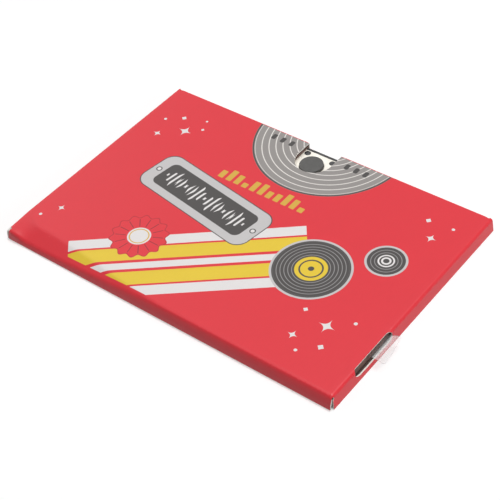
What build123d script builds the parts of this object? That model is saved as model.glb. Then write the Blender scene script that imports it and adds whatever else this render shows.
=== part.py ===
from build123d import *
import os
from math import cos, degrees, pi, radians, sin, sqrt, tan

# A recordable greeting card, in millimetres.
# It lies closed on its back page. X runs along the spine, Y from the spine to the open edge, Z up.
# The origin is under the middle of the card, on the table.

# Printed board case
card_length = 120.0
card_depth = 81.0
card_height = 4.5
board = 0.45
side_lean = 0.5
fold_radius = 1.0
spine_fold_radius = 2.5
back_fold_radius = 0.5
page_fold_radius = 0.8
crease_gap = 0.02
crease_angle = 45.0
wall_foot = 0.02
page_margin = 0.35
page_gap = 0.1
spine_end_gap = 0.6
corner_slit = 1.2
relief_width = 0.5
relief_height = 3.4

# Notch for the play button, and the slot for the pull tab
notch_width = 12.4
notch_depth = 12.1
button_x = 0.45
slot_length = 17.1
slot_width = 2.7
slot_from_spine = 11.6
slot_inset = 1.2

# Greyboard spacer and inner liner
fit_gap = 0.1
spacer_inset = 0.05
spacer_front_gap = 2.0
liner_front_gap = 0.2
spacer_lid_gap = 0.55
window_left = 1.5
window_front_border = 14.5
window_tail_room = 1.0
rail_width = 2.25
channel_width = 10.0
neck_width = 9.0
neck_length = 10.0

# Play switch
switch_width = 12.0
switch_depth = 13.4
switch_edge = 1.0
switch_gap = 0.1
plate_border = 0.9
plate_thickness = 0.2
plate_top = 3.05
switch_tape = 0.1
switch_tape_inset = 1.0
stud_inset = 1.3
stud_diameter = 1.4
stud_head_diameter = 2.1
stud_head_height = 0.2
stud_play = 0.03
button_diameter = 7.6
button_rise = 0.95
button_play = 0.15
button_flange = 0.6
button_flange_height = 0.35
button_travel = 0.3
button_edge = 0.2
dome_thickness = 0.1
dome_height = 0.5
dome_span = 7.0
well_depth = 1.25
leg_width = 1.0
leg_thickness = 0.2
leg_pitch = 5.0
leg_length = 2.2

# Sound board
sound_board_thickness = 0.6
sound_board_border = 1.8
sound_board_to_holder = 3.2
sound_board_to_switch = 5.4
sound_board_tape = 0.25
sound_board_corner = 1.0
blob_in_x = 9.0
blob_in_y = 10.0
blob_diameter = 9.0
blob_height = 1.0
die_size = 2.4
die_height = 0.35
capacitor_length = 2.0
capacitor_width = 1.25
capacitor_height = 0.8
capacitor_count = 4
resistor_length = 1.6
resistor_width = 0.8
resistor_height = 0.45
resistor_count = 5
chip_row_gap = 3.2
chip_to_solder = 0.4
solder_diameter = 1.8
solder_height = 0.9

# Record switch
record_in_x = 11.0
record_in_y = 10.0
record_size = 6.0
record_body_height = 1.6
record_plate = 0.15
record_cap_diameter = 6.4
record_cap_height = 0.5
record_stem_diameter = 3.4
record_flange = 0.3
record_flange_height = 0.3
record_travel = 0.2
record_recess = 0.05
record_stud_spacing = 4.5
record_well_depth = 0.8
record_dome_span = 3.6
record_dome_height = 0.25
record_dome_thickness = 0.08

# Lock switch
lock_in_x = 10.0
lock_length = 8.6
lock_width = 3.6
lock_base_height = 0.5
lock_case_height = 1.3
lock_case_wall = 0.2
lock_knob_length = 2.0
lock_knob_width = 1.4
lock_slider_length = 3.6
lock_travel = 2.0
lock_play = 0.06

# Microphone
mic_in_x = 6.0
mic_in_y = 4.5
mic_diameter = 6.0
mic_height = 1.9
mic_wall = 0.3
mic_hole = 1.2
mic_pin_diameter = 0.45
mic_pin_spacing = 2.5

# Speaker
speaker_y = 2.0
speaker_diameter = 28.0
speaker_tape = 0.15
speaker_height = 2.75
speaker_rim_width = 1.9
speaker_rim_height = 0.45
speaker_skin = 0.35
speaker_collar_gap = 0.1
speaker_collar_width = 1.3
cone_thickness = 0.1
cone_lift = 0.5
cone_rim_slope = 0.5
yoke_diameter = 14.4
yoke_wall = 1.0
yoke_floor = 0.5
yoke_height = 1.8
magnet_diameter = 10.0
magnet_height = 0.9
pole_diameter = 10.6
pole_height = 0.4
coil_diameter = 11.2
coil_wall = 0.3
coil_height = 1.1
tag_length = 4.4
tag_width = 6.0
tag_thickness = 0.5
tag_gap = 0.2
grille_hole = 1.5
grille_pitch = 3.4
grille_rings = 3

# Batteries and pull tab
cell_diameter = 11.6
cell_height = 2.05
cell_cap_diameter = 9.8
cell_cap_height = 0.3
cell_pitch = 12.2
cell_count = 3
cell_play = 0.1
holder_gap = 0.4
holder_wall = 0.9
holder_floor = 0.25
holder_tape = 0.1
holder_height = 2.35
contact_width = 4.0
contact_thickness = 0.12
contact_tail = 1.8
contact_dimple = 2.0
tab_thickness = 0.08
tab_width = 9.4
tab_inner_length = 16.0
tab_reach = 3.85
tab_skew = 1.5
tab_flare = 1.1
tab_corner = 0.6
tab_clearance = 0.2
tab_play = 0.01
tab_from_slot_end = 0.65

# Leads
lead_diameter = 0.9
lead_drop = 0.5
lead_run = 2.0
lead_slope = 3.5
lead_spread = 1.5
lead_bend = 0.45
lead_below_mic = 4.25

# Levels, from the table up
page_top = board
liner_bottom = page_top + page_gap
liner_top = liner_bottom + board
spacer_bottom = liner_top
lid_bottom = card_height - board
spacer_top = lid_bottom - spacer_lid_gap
sound_board_top = lid_bottom - sound_board_tape
sound_board_bottom = sound_board_top - sound_board_thickness

# Outlines
half_length = card_length / 2
half_depth = card_depth / 2
fold_y = -half_depth + spine_fold_radius
fold_z = card_height - spine_fold_radius
page_fold_y = -half_depth + page_fold_radius
spine_half = half_length - spine_end_gap
page_half = half_length - board - page_margin
page_back = half_depth - board - page_margin
spacer_half = half_length - side_lean - fold_radius - spacer_inset
spacer_front = fold_y + spacer_front_gap
liner_front = fold_y + liner_front_gap
spacer_back = half_depth - board - fit_gap
liner_half = half_length - side_lean - board
notch_left = button_x - notch_width / 2
notch_right = button_x + notch_width / 2
notch_centre_y = half_depth - notch_depth + notch_width / 2
slot_middle_y = -half_depth + slot_from_spine + slot_length / 2
switch_back = half_depth - switch_edge
switch_front = switch_back - switch_depth
play_y = switch_back - switch_depth / 2
window_front = -half_depth + window_front_border
rail_left = spacer_half - rail_width


def block(x0, x1, y0, y1, z0, z1):
    """A box between two corners."""
    return Pos((x0 + x1) / 2, (y0 + y1) / 2, (z0 + z1) / 2) * Box(x1 - x0, y1 - y0, z1 - z0)


def drum(x, y, z0, z1, diameter):
    """A round post standing between two levels."""
    return Pos(x, y, (z0 + z1) / 2) * Cylinder(diameter / 2, z1 - z0)


def tube(x, y, z0, z1, outer, inner):
    """A round pipe standing between two levels."""
    return drum(x, y, z0, z1, outer) - drum(x, y, z0, z1, inner)


def cap(x, y, z, width, height):
    """A shallow round dome that hangs down from level z."""
    radius = (width * width / 4 + height * height) / (2 * height)
    ball = Pos(x, y, z - height + radius) * Sphere(radius)
    return ball & drum(x, y, z - height, z, width)


def turned(x, y, points):
    """A ring turned from a closed outline of (radius, height) points."""
    outline = [(radius, 0, height) for radius, height in points]
    face = make_face(Polyline(*outline, close=True))
    return Pos(x, y, 0) * revolve(face, Axis.Z, 360)


def group(pieces):
    """Several separate solids kept under one name."""
    return Compound(children=list(pieces))


def fold_strip(centre_y, centre_z, radius, first, last, half):
    """A quarter or part of a round fold along X, between two angles in the YZ plane."""
    plane = Plane((-half, centre_y, centre_z), x_dir=(0, 1, 0), z_dir=(1, 0, 0))
    outer = CenterArc((0, 0), radius, first, last - first)
    inner = CenterArc((0, 0), radius - board, first, last - first)
    side = make_face([outer, Line(outer @ 1, inner @ 1), inner, Line(inner @ 0, outer @ 0)])
    return extrude(plane * side, amount=2 * half)


# Front case: a shallow tray of folded board, open below
def tray(inset, height, side_radius, far_radius):
    """The closed outer or inner form of the tray, inset from the outside by a wall."""
    lean = side_lean * height / card_height
    low = Pos(0, 0, 0) * Rectangle(card_length - 2 * inset, card_depth - 2 * inset)
    high = Pos(0, 0, height) * Rectangle(card_length - 2 * inset - 2 * lean, card_depth - 2 * inset)
    form = loft([low, high], ruled=True)
    top_edges = form.edges().group_by(Axis.Z)[-1].sort_by(Axis.Y)
    form = fillet(top_edges[1:3], side_radius)
    if far_radius:
        far_edge = form.edges().filter_by(Axis.X).sort_by(Axis.Y)[-2:].sort_by(Axis.Z)[-1]
        form = fillet(far_edge, far_radius)
    return form


def beyond_spine_fold():
    """What lies above and in front of the round fold along the spine."""
    corner = block(-half_length - 1, half_length + 1, -half_depth - 1, fold_y, fold_z, card_height + 1)
    roll = Pos(0, fold_y, fold_z) * Rot(0, 90, 0) * Cylinder(spine_fold_radius, card_length + 4)
    return corner - roll


def notch_cutter():
    """The round-ended notch at the open edge, cut right down through the back wall."""
    straight = block(notch_left, notch_right, notch_centre_y, half_depth + 1, -1, card_height + 1)
    return straight + drum(button_x, notch_centre_y, -1, card_height + 1, notch_width)


def slot_cutter():
    """The round-ended slot across the right fold, half in the top and half in the wall."""
    reach = slot_width * sqrt(2) / 2
    centre_x = half_length - slot_inset + reach / 2
    centre_z = card_height - reach / 2
    plane = Plane((centre_x, slot_middle_y, centre_z), x_dir=(0, 1, 0), z_dir=(1, 0, 1))
    shape = SlotOverall(slot_length, slot_width)
    return extrude(plane * shape, amount=3 * fold_radius, both=True)


def make_front_case():
    outer = tray(0, card_height, fold_radius, back_fold_radius)
    inner = tray(board, card_height - board, fold_radius - board, 0)
    shell = outer - inner
    flat_half = half_length - side_lean - fold_radius
    front = -half_depth - 1
    shell -= block(-flat_half, flat_half, front, fold_y, -1, card_height + 1)
    shell -= block(-half_length - 1, half_length + 1, front, -half_depth + corner_slit, -1, card_height + 1)
    shell -= beyond_spine_fold()
    shell += fold_strip(fold_y, fold_z, spine_fold_radius, 90, 180 - crease_angle, spine_half)
    for side in (-1, 1):
        left = side * (half_length - board - relief_width) - relief_width / 2
        shell -= block(left, left + relief_width, half_depth - board, half_depth + 1, -1, relief_height)
    shell -= block(-half_length - 1, half_length + 1, -half_depth - 1, half_depth + 1, -1, wall_foot)
    shell -= notch_cutter()
    shell -= slot_cutter()
    return shell


def make_spine_wall():
    upper_turn = degrees(crease_gap / spine_fold_radius)
    lower_turn = degrees(crease_gap / page_fold_radius)
    first = 180 - crease_angle + upper_turn
    upper = fold_strip(fold_y, fold_z, spine_fold_radius, first, 180, spine_half)
    low_end = 180 + crease_angle - lower_turn
    lower = fold_strip(page_fold_y, page_fold_radius, page_fold_radius, 180, low_end, spine_half)
    wall = block(-spine_half, spine_half, -half_depth, -half_depth + board, page_fold_radius, fold_z)
    return upper + wall + lower


def make_back_page():
    sheet = block(-page_half, page_half, page_fold_y, page_back, 0, board)
    first = 180 + crease_angle
    fold = fold_strip(page_fold_y, page_fold_radius, page_fold_radius, first, 270, page_half)
    return sheet + fold


# Places inside
holder_half_x = cell_diameter / 2 + cell_play + holder_wall
cell_x = rail_left - holder_gap - holder_half_x
tab_middle_y = slot_middle_y + (slot_length - tab_width) / 2 - tab_from_slot_end
first_cell_y = tab_middle_y
last_cell_y = first_cell_y + (cell_count - 1) * cell_pitch
holder_half_y = (last_cell_y - first_cell_y) / 2 + cell_diameter / 2 + cell_play + holder_wall
holder_y = (first_cell_y + last_cell_y) / 2
holder_bottom = liner_top + holder_tape
contact_level = holder_bottom + holder_floor
cell_bottom = contact_level + contact_thickness
cell_top = cell_bottom + cell_height
tab_bottom = cell_top + tab_play
tab_top = tab_bottom + tab_thickness
upper_contact_level = tab_top + tab_play
upper_tail_y = holder_y - holder_half_y - contact_tail
lower_tail_y = holder_y + holder_half_y + contact_tail
sound_board_back = switch_front - sound_board_to_switch
window_back = max(sound_board_back + sound_board_border, lower_tail_y + window_tail_room)
speaker_x = -card_length / 4


def make_spacer():
    slab = block(-spacer_half, spacer_half, spacer_front, spacer_back, spacer_bottom, spacer_top)
    low = spacer_bottom - 1
    high = spacer_top + 1
    slab -= drum(speaker_x, speaker_y, low, high, speaker_diameter + 6 * fit_gap)
    slab -= block(window_left, rail_left, window_front, window_back, low, high)
    half_channel = channel_width / 2
    slab -= block(speaker_x, window_left + 1, speaker_y - half_channel, speaker_y + half_channel, low, high)
    neck_left = button_x - neck_width / 2
    slab -= block(neck_left, neck_left + neck_width, switch_front - neck_length, switch_front + 1, low, high)
    half_switch = switch_width / 2 + switch_gap
    slab -= block(
        button_x - half_switch, button_x + half_switch, switch_front - switch_gap, half_depth, low, high
    )
    half_tab = tab_width / 2 + tab_clearance
    slab -= block(
        rail_left - 1,
        half_length,
        tab_middle_y - half_tab,
        tab_middle_y + half_tab,
        tab_bottom - tab_clearance,
        tab_top + tab_clearance,
    )
    return slab


def grille_holes(low, high):
    """Rings of round sound holes about a middle one."""
    holes = drum(speaker_x, speaker_y, low, high, grille_hole)
    for ring in range(1, grille_rings):
        for step in range(6 * ring):
            angle = 2 * pi * step / (6 * ring)
            hole_x = speaker_x + ring * grille_pitch * cos(angle)
            hole_y = speaker_y + ring * grille_pitch * sin(angle)
            holes += drum(hole_x, hole_y, low, high, grille_hole)
    return holes


def make_liner():
    low = liner_bottom - 1
    high = liner_top + 1
    sheet = block(-liner_half, liner_half, liner_front, spacer_back, liner_bottom, liner_top)
    sheet -= grille_holes(low, high)
    sheet -= drum(record_x, record_y, low, high, record_cap_diameter + 4 * fit_gap)
    window_x = lock_knob_length / 2 + lock_travel / 2 + 3 * fit_gap
    window_y = lock_knob_width / 2 + 3 * fit_gap
    sheet -= block(lock_x - window_x, lock_x + window_x, lock_y - window_y, lock_y + window_y, low, high)
    sheet -= drum(mic_x, mic_y, low, high, mic_hole)
    return sheet


# Play switch, seen in the notch
stud_spacing_x = switch_width - 2 * stud_inset
stud_spacing_y = switch_depth - 2 * plate_border - 2 * stud_inset
plate_bottom = plate_top - plate_thickness
switch_bottom = liner_top + switch_tape
well_floor = plate_bottom - well_depth
button_top = plate_top + button_rise
flange_diameter = button_diameter + 2 * button_flange
flange_top = plate_bottom - crease_gap
flange_bottom = flange_top - button_flange_height
plate_hole = button_diameter + 2 * button_play


def switch_studs(x, y, z0, z1, diameter):
    """The four corner posts of the play switch."""
    spots = GridLocations(stud_spacing_x, stud_spacing_y, 2, 2)
    return [Pos(x, y, 0) * spot * drum(0, 0, z0, z1, diameter) for spot in spots]


def make_play_base():
    half_x = switch_width / 2
    half_y = switch_depth / 2
    body = block(
        button_x - half_x, button_x + half_x, play_y - half_y, play_y + half_y, switch_bottom, plate_bottom
    )
    for side in (-1, 1):
        edge = play_y + side * half_y
        rim = edge - side * plate_border
        low, high = min(edge, rim), max(edge, rim)
        body += block(button_x - half_x, button_x + half_x, low, high, plate_bottom, plate_top)
    body -= drum(button_x, play_y, well_floor, plate_bottom + 1, flange_diameter + 2 * button_play)
    for stud in switch_studs(button_x, play_y, plate_bottom - 0.1, plate_top + 0.01, stud_diameter):
        body += stud
    rivet = Rot(180, 0, 0) * cap(0, 0, -plate_top, stud_head_diameter, stud_head_height)
    for spot in GridLocations(stud_spacing_x, stud_spacing_y, 2, 2):
        body += Pos(button_x, play_y, 0) * spot * rivet
    leg_level = switch_bottom + leg_thickness
    for side in (-1, 1):
        leg_x = button_x + side * leg_pitch / 2
        body -= block(
            leg_x - leg_width / 2,
            leg_x + leg_width / 2,
            play_y - half_y - 1,
            play_y - half_y + leg_length / 2,
            leg_level,
            leg_level + leg_thickness,
        )
    return body


def make_play_plate():
    half_x = switch_width / 2
    half_y = switch_depth / 2 - plate_border - stud_play
    sheet = Pos(button_x, play_y, 0) * block(-half_x, half_x, -half_y, half_y, plate_bottom, plate_top)
    sheet -= drum(button_x, play_y, plate_bottom - 1, plate_top + 1, plate_hole)
    stud_hole = stud_diameter + 2 * stud_play
    for hole in switch_studs(button_x, play_y, plate_bottom - 1, plate_top + 1, stud_hole):
        sheet -= hole
    return sheet


def snap_dome(x, y, z, span, height, thickness):
    """A thin metal dome that bulges up from level z."""
    radius = (span * span / 4 + height * height) / (2 * height)
    centre_z = z + height - radius
    shell = Pos(x, y, centre_z) * (Sphere(radius) - Sphere(radius - thickness))
    return shell & drum(x, y, z, z + height + 1, span)


def make_play_button():
    stem = drum(button_x, play_y, flange_bottom, button_top, button_diameter)
    stem = fillet(stem.edges().sort_by(Axis.Z)[-1], button_edge)
    flange = drum(button_x, play_y, flange_bottom, flange_top, flange_diameter)
    return stem + flange


def make_play_legs():
    leg_level = switch_bottom + leg_thickness
    legs = []
    for side in (-1, 1):
        leg_x = button_x + side * leg_pitch / 2
        legs.append(
            block(
                leg_x - leg_width / 2,
                leg_x + leg_width / 2,
                switch_front - leg_length / 2,
                switch_front + leg_length / 2,
                leg_level,
                leg_level + leg_thickness,
            )
        )
    return group(legs)


def make_play_tape():
    half_x = switch_width / 2 - switch_tape_inset
    half_y = switch_depth / 2 - switch_tape_inset
    return block(
        button_x - half_x, button_x + half_x, play_y - half_y, play_y + half_y, liner_top, switch_bottom
    )


# Sound board and what hangs from it
sound_board_left = window_left + sound_board_border
sound_board_right = cell_x - holder_half_x - sound_board_to_holder
sound_board_front = window_front + sound_board_border
blob_x = sound_board_left + blob_in_x
blob_y = sound_board_back - blob_in_y
record_x = sound_board_left + record_in_x
record_y = sound_board_front + record_in_y
lock_x = sound_board_right - lock_in_x
lock_y = record_y
mic_x = sound_board_right - mic_in_x
mic_y = sound_board_back - mic_in_y


def make_sound_board():
    sheet = block(
        sound_board_left,
        sound_board_right,
        sound_board_front,
        sound_board_back,
        sound_board_bottom,
        sound_board_top,
    )
    sheet = fillet(sheet.edges().filter_by(Axis.Z), sound_board_corner)
    pin_hole = mic_pin_diameter + 2 * stud_play
    for side in (-1, 1):
        pin_x = mic_x + side * mic_pin_spacing / 2
        sheet -= drum(pin_x, mic_y, sound_board_bottom - 1, sound_board_top + 1, pin_hole)
    return sheet


def make_board_tape():
    inset = 3 * sound_board_corner
    return block(
        sound_board_left + inset,
        sound_board_right - inset,
        sound_board_front + inset,
        sound_board_back - inset,
        sound_board_top,
        lid_bottom,
    )


def make_die():
    half = die_size / 2
    low = sound_board_bottom - die_height
    return Pos(blob_x, blob_y, 0) * block(-half, half, -half, half, low, sound_board_bottom)


def make_blob():
    return cap(blob_x, blob_y, sound_board_bottom, blob_diameter, blob_height) - make_die()


# The chips stand in two rows between the blob and the battery leads' solder
battery_solder_x = sound_board_right - 2 * solder_diameter
chips_left = blob_x + blob_diameter
chips_right = battery_solder_x - solder_diameter / 2 - chip_to_solder
chip_pitch = (chips_right - chips_left) / (resistor_count - 1)


def chip_row(count, length, width, height, y):
    """A row of small chips on the underside of the board."""
    chips = []
    for step in range(count):
        chip_x = chips_left + step * chip_pitch
        chips.append(
            block(
                chip_x - width / 2,
                chip_x + width / 2,
                y - length / 2,
                y + length / 2,
                sound_board_bottom - height,
                sound_board_bottom,
            )
        )
    return group(chips)


def make_capacitors():
    return chip_row(capacitor_count, capacitor_length, capacitor_width, capacitor_height, blob_y)


def make_resistors():
    return chip_row(resistor_count, resistor_length, resistor_width, resistor_height, blob_y - chip_row_gap)


# Record switch: it hangs from the board and is pressed from the inside of the card
record_bottom = sound_board_bottom - record_body_height
record_plate_bottom = record_bottom - record_plate
record_face = liner_bottom + record_recess
record_well_top = record_bottom + record_well_depth


def make_record_base():
    half = record_size / 2
    body = block(
        record_x - half, record_x + half, record_y - half, record_y + half, record_bottom, sound_board_bottom
    )
    well = record_stem_diameter + 2 * record_flange + 2 * button_play
    body -= drum(record_x, record_y, record_bottom - 1, record_well_top, well)
    return body


def make_record_plate():
    half = record_size / 2
    sheet = block(
        record_x - half, record_x + half, record_y - half, record_y + half, record_plate_bottom, record_bottom
    )
    hole = record_stem_diameter + 2 * button_play
    return sheet - drum(record_x, record_y, record_plate_bottom - 1, record_bottom + 1, hole)


def make_record_dome():
    dome = snap_dome(0, 0, 0, record_dome_span, record_dome_height, record_dome_thickness)
    return Pos(record_x, record_y, record_well_top) * Rot(180, 0, 0) * dome


def make_record_button():
    button = drum(record_x, record_y, record_face, record_face + record_cap_height, record_cap_diameter)
    button = fillet(button.edges().sort_by(Axis.Z)[0], button_edge / 2)
    stem_top = record_bottom + crease_gap + record_flange_height
    button += drum(record_x, record_y, record_face + record_cap_height, stem_top, record_stem_diameter)
    flange = record_stem_diameter + 2 * record_flange
    button += drum(record_x, record_y, record_bottom + crease_gap, stem_top, flange)
    return button


def make_record_legs():
    legs = []
    for side_x in (-1, 1):
        for side_y in (-1, 1):
            leg_x = record_x + side_x * (record_size / 2 + leg_width / 2)
            leg_y = record_y + side_y * record_stud_spacing / 2
            legs.append(
                block(
                    leg_x - leg_width / 2,
                    leg_x + leg_width / 2,
                    leg_y - leg_width / 2,
                    leg_y + leg_width / 2,
                    sound_board_bottom - leg_thickness,
                    sound_board_bottom,
                )
            )
    return group(legs)


# Lock switch: a slide switch beside the record switch
lock_base_bottom = sound_board_bottom - lock_base_height
lock_case_bottom = lock_base_bottom - lock_case_height
lock_slot_half = lock_knob_length / 2 + lock_travel / 2 + lock_play


def make_lock_base():
    return block(
        lock_x - lock_length / 2,
        lock_x + lock_length / 2,
        lock_y - lock_width / 2,
        lock_y + lock_width / 2,
        lock_base_bottom,
        sound_board_bottom,
    )


def make_lock_case():
    half_x = lock_length / 2
    half_y = lock_width / 2
    floor = lock_case_bottom + lock_case_wall
    middle = Pos(lock_x, lock_y, 0)
    shell = middle * block(-half_x, half_x, -half_y, half_y, lock_case_bottom, lock_base_bottom)
    inner_x = half_x - lock_case_wall
    inner_y = half_y - lock_case_wall
    shell -= middle * block(-inner_x, inner_x, -inner_y, inner_y, floor, lock_base_bottom + 1)
    slot_y = lock_knob_width / 2 + lock_play
    shell -= middle * block(-lock_slot_half, lock_slot_half, -slot_y, slot_y, lock_case_bottom - 1, floor + 1)
    return shell


def make_lock_knob():
    rest_x = lock_x - lock_travel / 2
    floor = lock_case_bottom + lock_case_wall + lock_play
    slider_y = lock_width / 2 - lock_case_wall - lock_play
    slider = block(
        rest_x - lock_slider_length / 2,
        rest_x + lock_slider_length / 2,
        lock_y - slider_y,
        lock_y + slider_y,
        floor,
        lock_base_bottom - lock_play,
    )
    knob = block(
        rest_x - lock_knob_length / 2,
        rest_x + lock_knob_length / 2,
        lock_y - lock_knob_width / 2,
        lock_y + lock_knob_width / 2,
        record_face,
        floor,
    )
    return slider + knob


def make_lock_legs():
    legs = []
    for step in (-1, 0, 1):
        leg_x = lock_x + step * 2 * leg_width
        leg_y = lock_y + lock_width / 2 + leg_width / 2
        legs.append(
            block(
                leg_x - leg_width / 2,
                leg_x + leg_width / 2,
                leg_y - leg_width / 2,
                leg_y + leg_width / 2,
                sound_board_bottom - leg_thickness,
                sound_board_bottom,
            )
        )
    return group(legs)


# Microphone
mic_bottom = sound_board_bottom - mic_height


def make_mic_can():
    can = drum(mic_x, mic_y, mic_bottom, sound_board_bottom, mic_diameter)
    can = fillet(can.edges().sort_by(Axis.Z)[0], mic_wall)
    can -= drum(mic_x, mic_y, mic_bottom - 1, mic_bottom + mic_wall, mic_hole)
    can -= drum(mic_x, mic_y, mic_bottom + mic_wall, sound_board_bottom, mic_diameter - 2 * mic_wall)
    return can


def make_mic_felt():
    return tube(mic_x, mic_y, liner_top, mic_bottom, mic_diameter - 2 * mic_wall, mic_hole)


def make_mic_pins():
    pins = []
    for side in (-1, 1):
        pin_x = mic_x + side * mic_pin_spacing / 2
        pins.append(drum(pin_x, mic_y, mic_bottom + 2 * mic_wall, sound_board_top, mic_pin_diameter))
    return group(pins)


# Speaker: it faces down into the liner's grille
rim_bottom = liner_top + speaker_tape
rim_top = rim_bottom + speaker_rim_height
speaker_back = rim_bottom + speaker_height
yoke_bottom = speaker_back - yoke_height
speaker_radius = speaker_diameter / 2
cone_radius = speaker_radius - speaker_rim_width / 2
yoke_radius = yoke_diameter / 2
collar_bottom = yoke_bottom + speaker_collar_gap
collar_top = collar_bottom + speaker_skin


def make_speaker_frame():
    rim_inner = speaker_radius - speaker_rim_width
    ledge = rim_bottom + cone_thickness
    collar_radius = yoke_radius + speaker_collar_width
    return turned(
        speaker_x,
        speaker_y,
        [
            (cone_radius, rim_bottom),
            (speaker_radius, rim_bottom),
            (speaker_radius, rim_top),
            (rim_inner + speaker_skin, rim_top + speaker_skin / 2),
            (collar_radius, collar_top),
            (yoke_radius, collar_top),
            (yoke_radius, collar_bottom),
            (collar_radius - speaker_skin / 2, collar_bottom),
            (rim_inner, ledge + speaker_skin),
            (rim_inner, ledge),
            (cone_radius, ledge),
        ],
    )


def make_cone():
    """A thin film: flat rim, a trough, a flat seat for the coil and a low dome."""
    rim_inner = speaker_radius - speaker_rim_width
    seat_outer = coil_diameter / 2 + 2 * coil_wall
    seat_inner = coil_diameter / 2 - coil_wall
    low = rim_bottom
    high = rim_bottom + cone_lift
    thick = cone_thickness
    return turned(
        speaker_x,
        speaker_y,
        [
            (0, low + thick),
            (0, low + 2 * thick),
            (seat_inner, high + thick),
            (seat_outer, high + thick),
            (rim_inner - cone_rim_slope + thick, low + thick),
            (cone_radius, low + thick),
            (cone_radius, low),
            (rim_inner - cone_rim_slope, low),
            (seat_outer, high),
            (seat_inner, high),
        ],
    )


def make_coil():
    low = rim_bottom + cone_lift + cone_thickness
    return tube(speaker_x, speaker_y, low, low + coil_height, coil_diameter + 2 * coil_wall, coil_diameter)


def make_yoke():
    cup = drum(speaker_x, speaker_y, yoke_bottom, speaker_back, yoke_diameter)
    hollow = yoke_diameter - 2 * yoke_wall
    return cup - drum(speaker_x, speaker_y, yoke_bottom - 1, speaker_back - yoke_floor, hollow)


def make_magnet():
    top = speaker_back - yoke_floor
    return drum(speaker_x, speaker_y, top - magnet_height, top, magnet_diameter)


def make_pole_plate():
    top = speaker_back - yoke_floor - magnet_height
    return drum(speaker_x, speaker_y, top - pole_height, top, pole_diameter)


tag_left = speaker_x + yoke_radius + tag_gap
tag_right = tag_left + tag_length
tag_top = collar_top + tag_thickness


def make_speaker_tag():
    half_y = tag_width / 2
    return block(tag_left, tag_right, speaker_y - half_y, speaker_y + half_y, collar_top, tag_top)


def make_speaker_tape():
    inner = speaker_diameter - 2 * speaker_rim_width
    return tube(speaker_x, speaker_y, liner_top, rim_bottom, speaker_diameter, inner)


# Batteries
def cell_places():
    return [first_cell_y + step * cell_pitch for step in range(cell_count)]


def make_cells():
    radius = cell_diameter / 2
    cap_radius = cell_cap_diameter / 2
    bevel = cell_cap_height / 2
    cells = []
    for cell_y in cell_places():
        shape = turned(
            cell_x,
            cell_y,
            [
                (0, cell_bottom),
                (radius - bevel, cell_bottom),
                (radius, cell_bottom + bevel),
                (radius, cell_top - cell_cap_height - bevel),
                (radius - bevel, cell_top - cell_cap_height),
                (cap_radius, cell_top - cell_cap_height),
                (cap_radius - bevel, cell_top),
                (0, cell_top),
            ],
        )
        cells.append(shape)
    return group(cells)


def make_holder():
    tray_box = block(
        cell_x - holder_half_x,
        cell_x + holder_half_x,
        holder_y - holder_half_y,
        holder_y + holder_half_y,
        holder_bottom,
        holder_bottom + holder_height,
    )
    tray_box = fillet(tray_box.edges().filter_by(Axis.Z), holder_wall)
    high = holder_bottom + holder_height + 1
    for cell_y in cell_places():
        tray_box -= drum(cell_x, cell_y, contact_level, high, cell_diameter + 2 * cell_play)
    channel = contact_width / 2 + cell_play
    reach = holder_half_y + 1
    tray_box -= block(
        cell_x - channel,
        cell_x + channel,
        holder_y - holder_half_y + holder_wall,
        holder_y + reach,
        contact_level,
        cell_bottom + cell_play,
    )
    return tray_box


def contact_strip(y0, y1, level):
    half = contact_width / 2
    return block(cell_x - half, cell_x + half, y0, y1, level, level + contact_thickness)


def make_lower_contacts():
    places = cell_places()
    quarter = cell_diameter / 4
    link = contact_strip(places[0] - quarter, places[1] + quarter, contact_level)
    end = contact_strip(places[-1] - quarter, lower_tail_y, contact_level)
    return group([link, end])


def make_upper_contacts():
    places = cell_places()
    quarter = cell_diameter / 4
    end = contact_strip(upper_tail_y, places[0] + quarter, upper_contact_level)
    link = contact_strip(places[1] - quarter, places[-1] + quarter, upper_contact_level)
    for cell_y in places[1:]:
        link += drum(cell_x, cell_y, cell_top, upper_contact_level, contact_dimple)
    return group([end, link])


def make_holder_tape():
    inset = 2 * holder_wall
    return block(
        cell_x - holder_half_x + inset,
        cell_x + holder_half_x - inset,
        holder_y - holder_half_y + inset,
        holder_y + holder_half_y - inset,
        liner_top,
        holder_bottom,
    )


def make_pull_tab():
    """Clear film: a straight strip with a flared, slightly skewed grip."""
    near = tab_middle_y - tab_width / 2
    far = tab_middle_y + tab_width / 2
    tip = half_length + tab_reach
    start = half_length - tab_inner_length
    outline = FilletPolyline(
        (start, near),
        (tip, near),
        (tip - tab_skew / 3, (near + far) / 2),
        (tip - tab_skew, far + tab_flare),
        (half_length, far),
        (start, far),
        radius=[tab_corner, tab_corner, 10 * tab_corner, tab_corner, tab_corner, tab_corner],
        close=True,
    )
    film = extrude(make_face(outline), amount=tab_thickness)
    return Pos(0, 0, tab_bottom) * film


# Leads: straight runs joined by arcs
def lead_radii(points):
    """Each arc is as large as its two runs allow."""
    radii = []
    for before, corner, after in zip(points, points[1:], points[2:]):
        first = Vector(corner) - Vector(before)
        second = Vector(after) - Vector(corner)
        turn = radians(first.get_angle(second))
        radii.append(lead_bend * min(first.length, second.length) / tan(turn / 2))
    return radii


def make_lead(points):
    radii = lead_radii(points)
    path = FilletPolyline(*points, radius=radii)
    start = Plane(origin=points[0], z_dir=Vector(points[1]) - Vector(points[0]))
    lead = sweep(start * Circle(lead_diameter / 2), path=path)
    print("lead radii", [round(radius, 2) for radius in radii], "length", round(path.length, 2))
    return lead


tag_lead_z = tag_top + lead_diameter / 2
lead_level = sound_board_bottom - lead_drop
board_lead_x = sound_board_left + solder_diameter
leg_lead_y = switch_front - leg_length / 4


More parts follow.
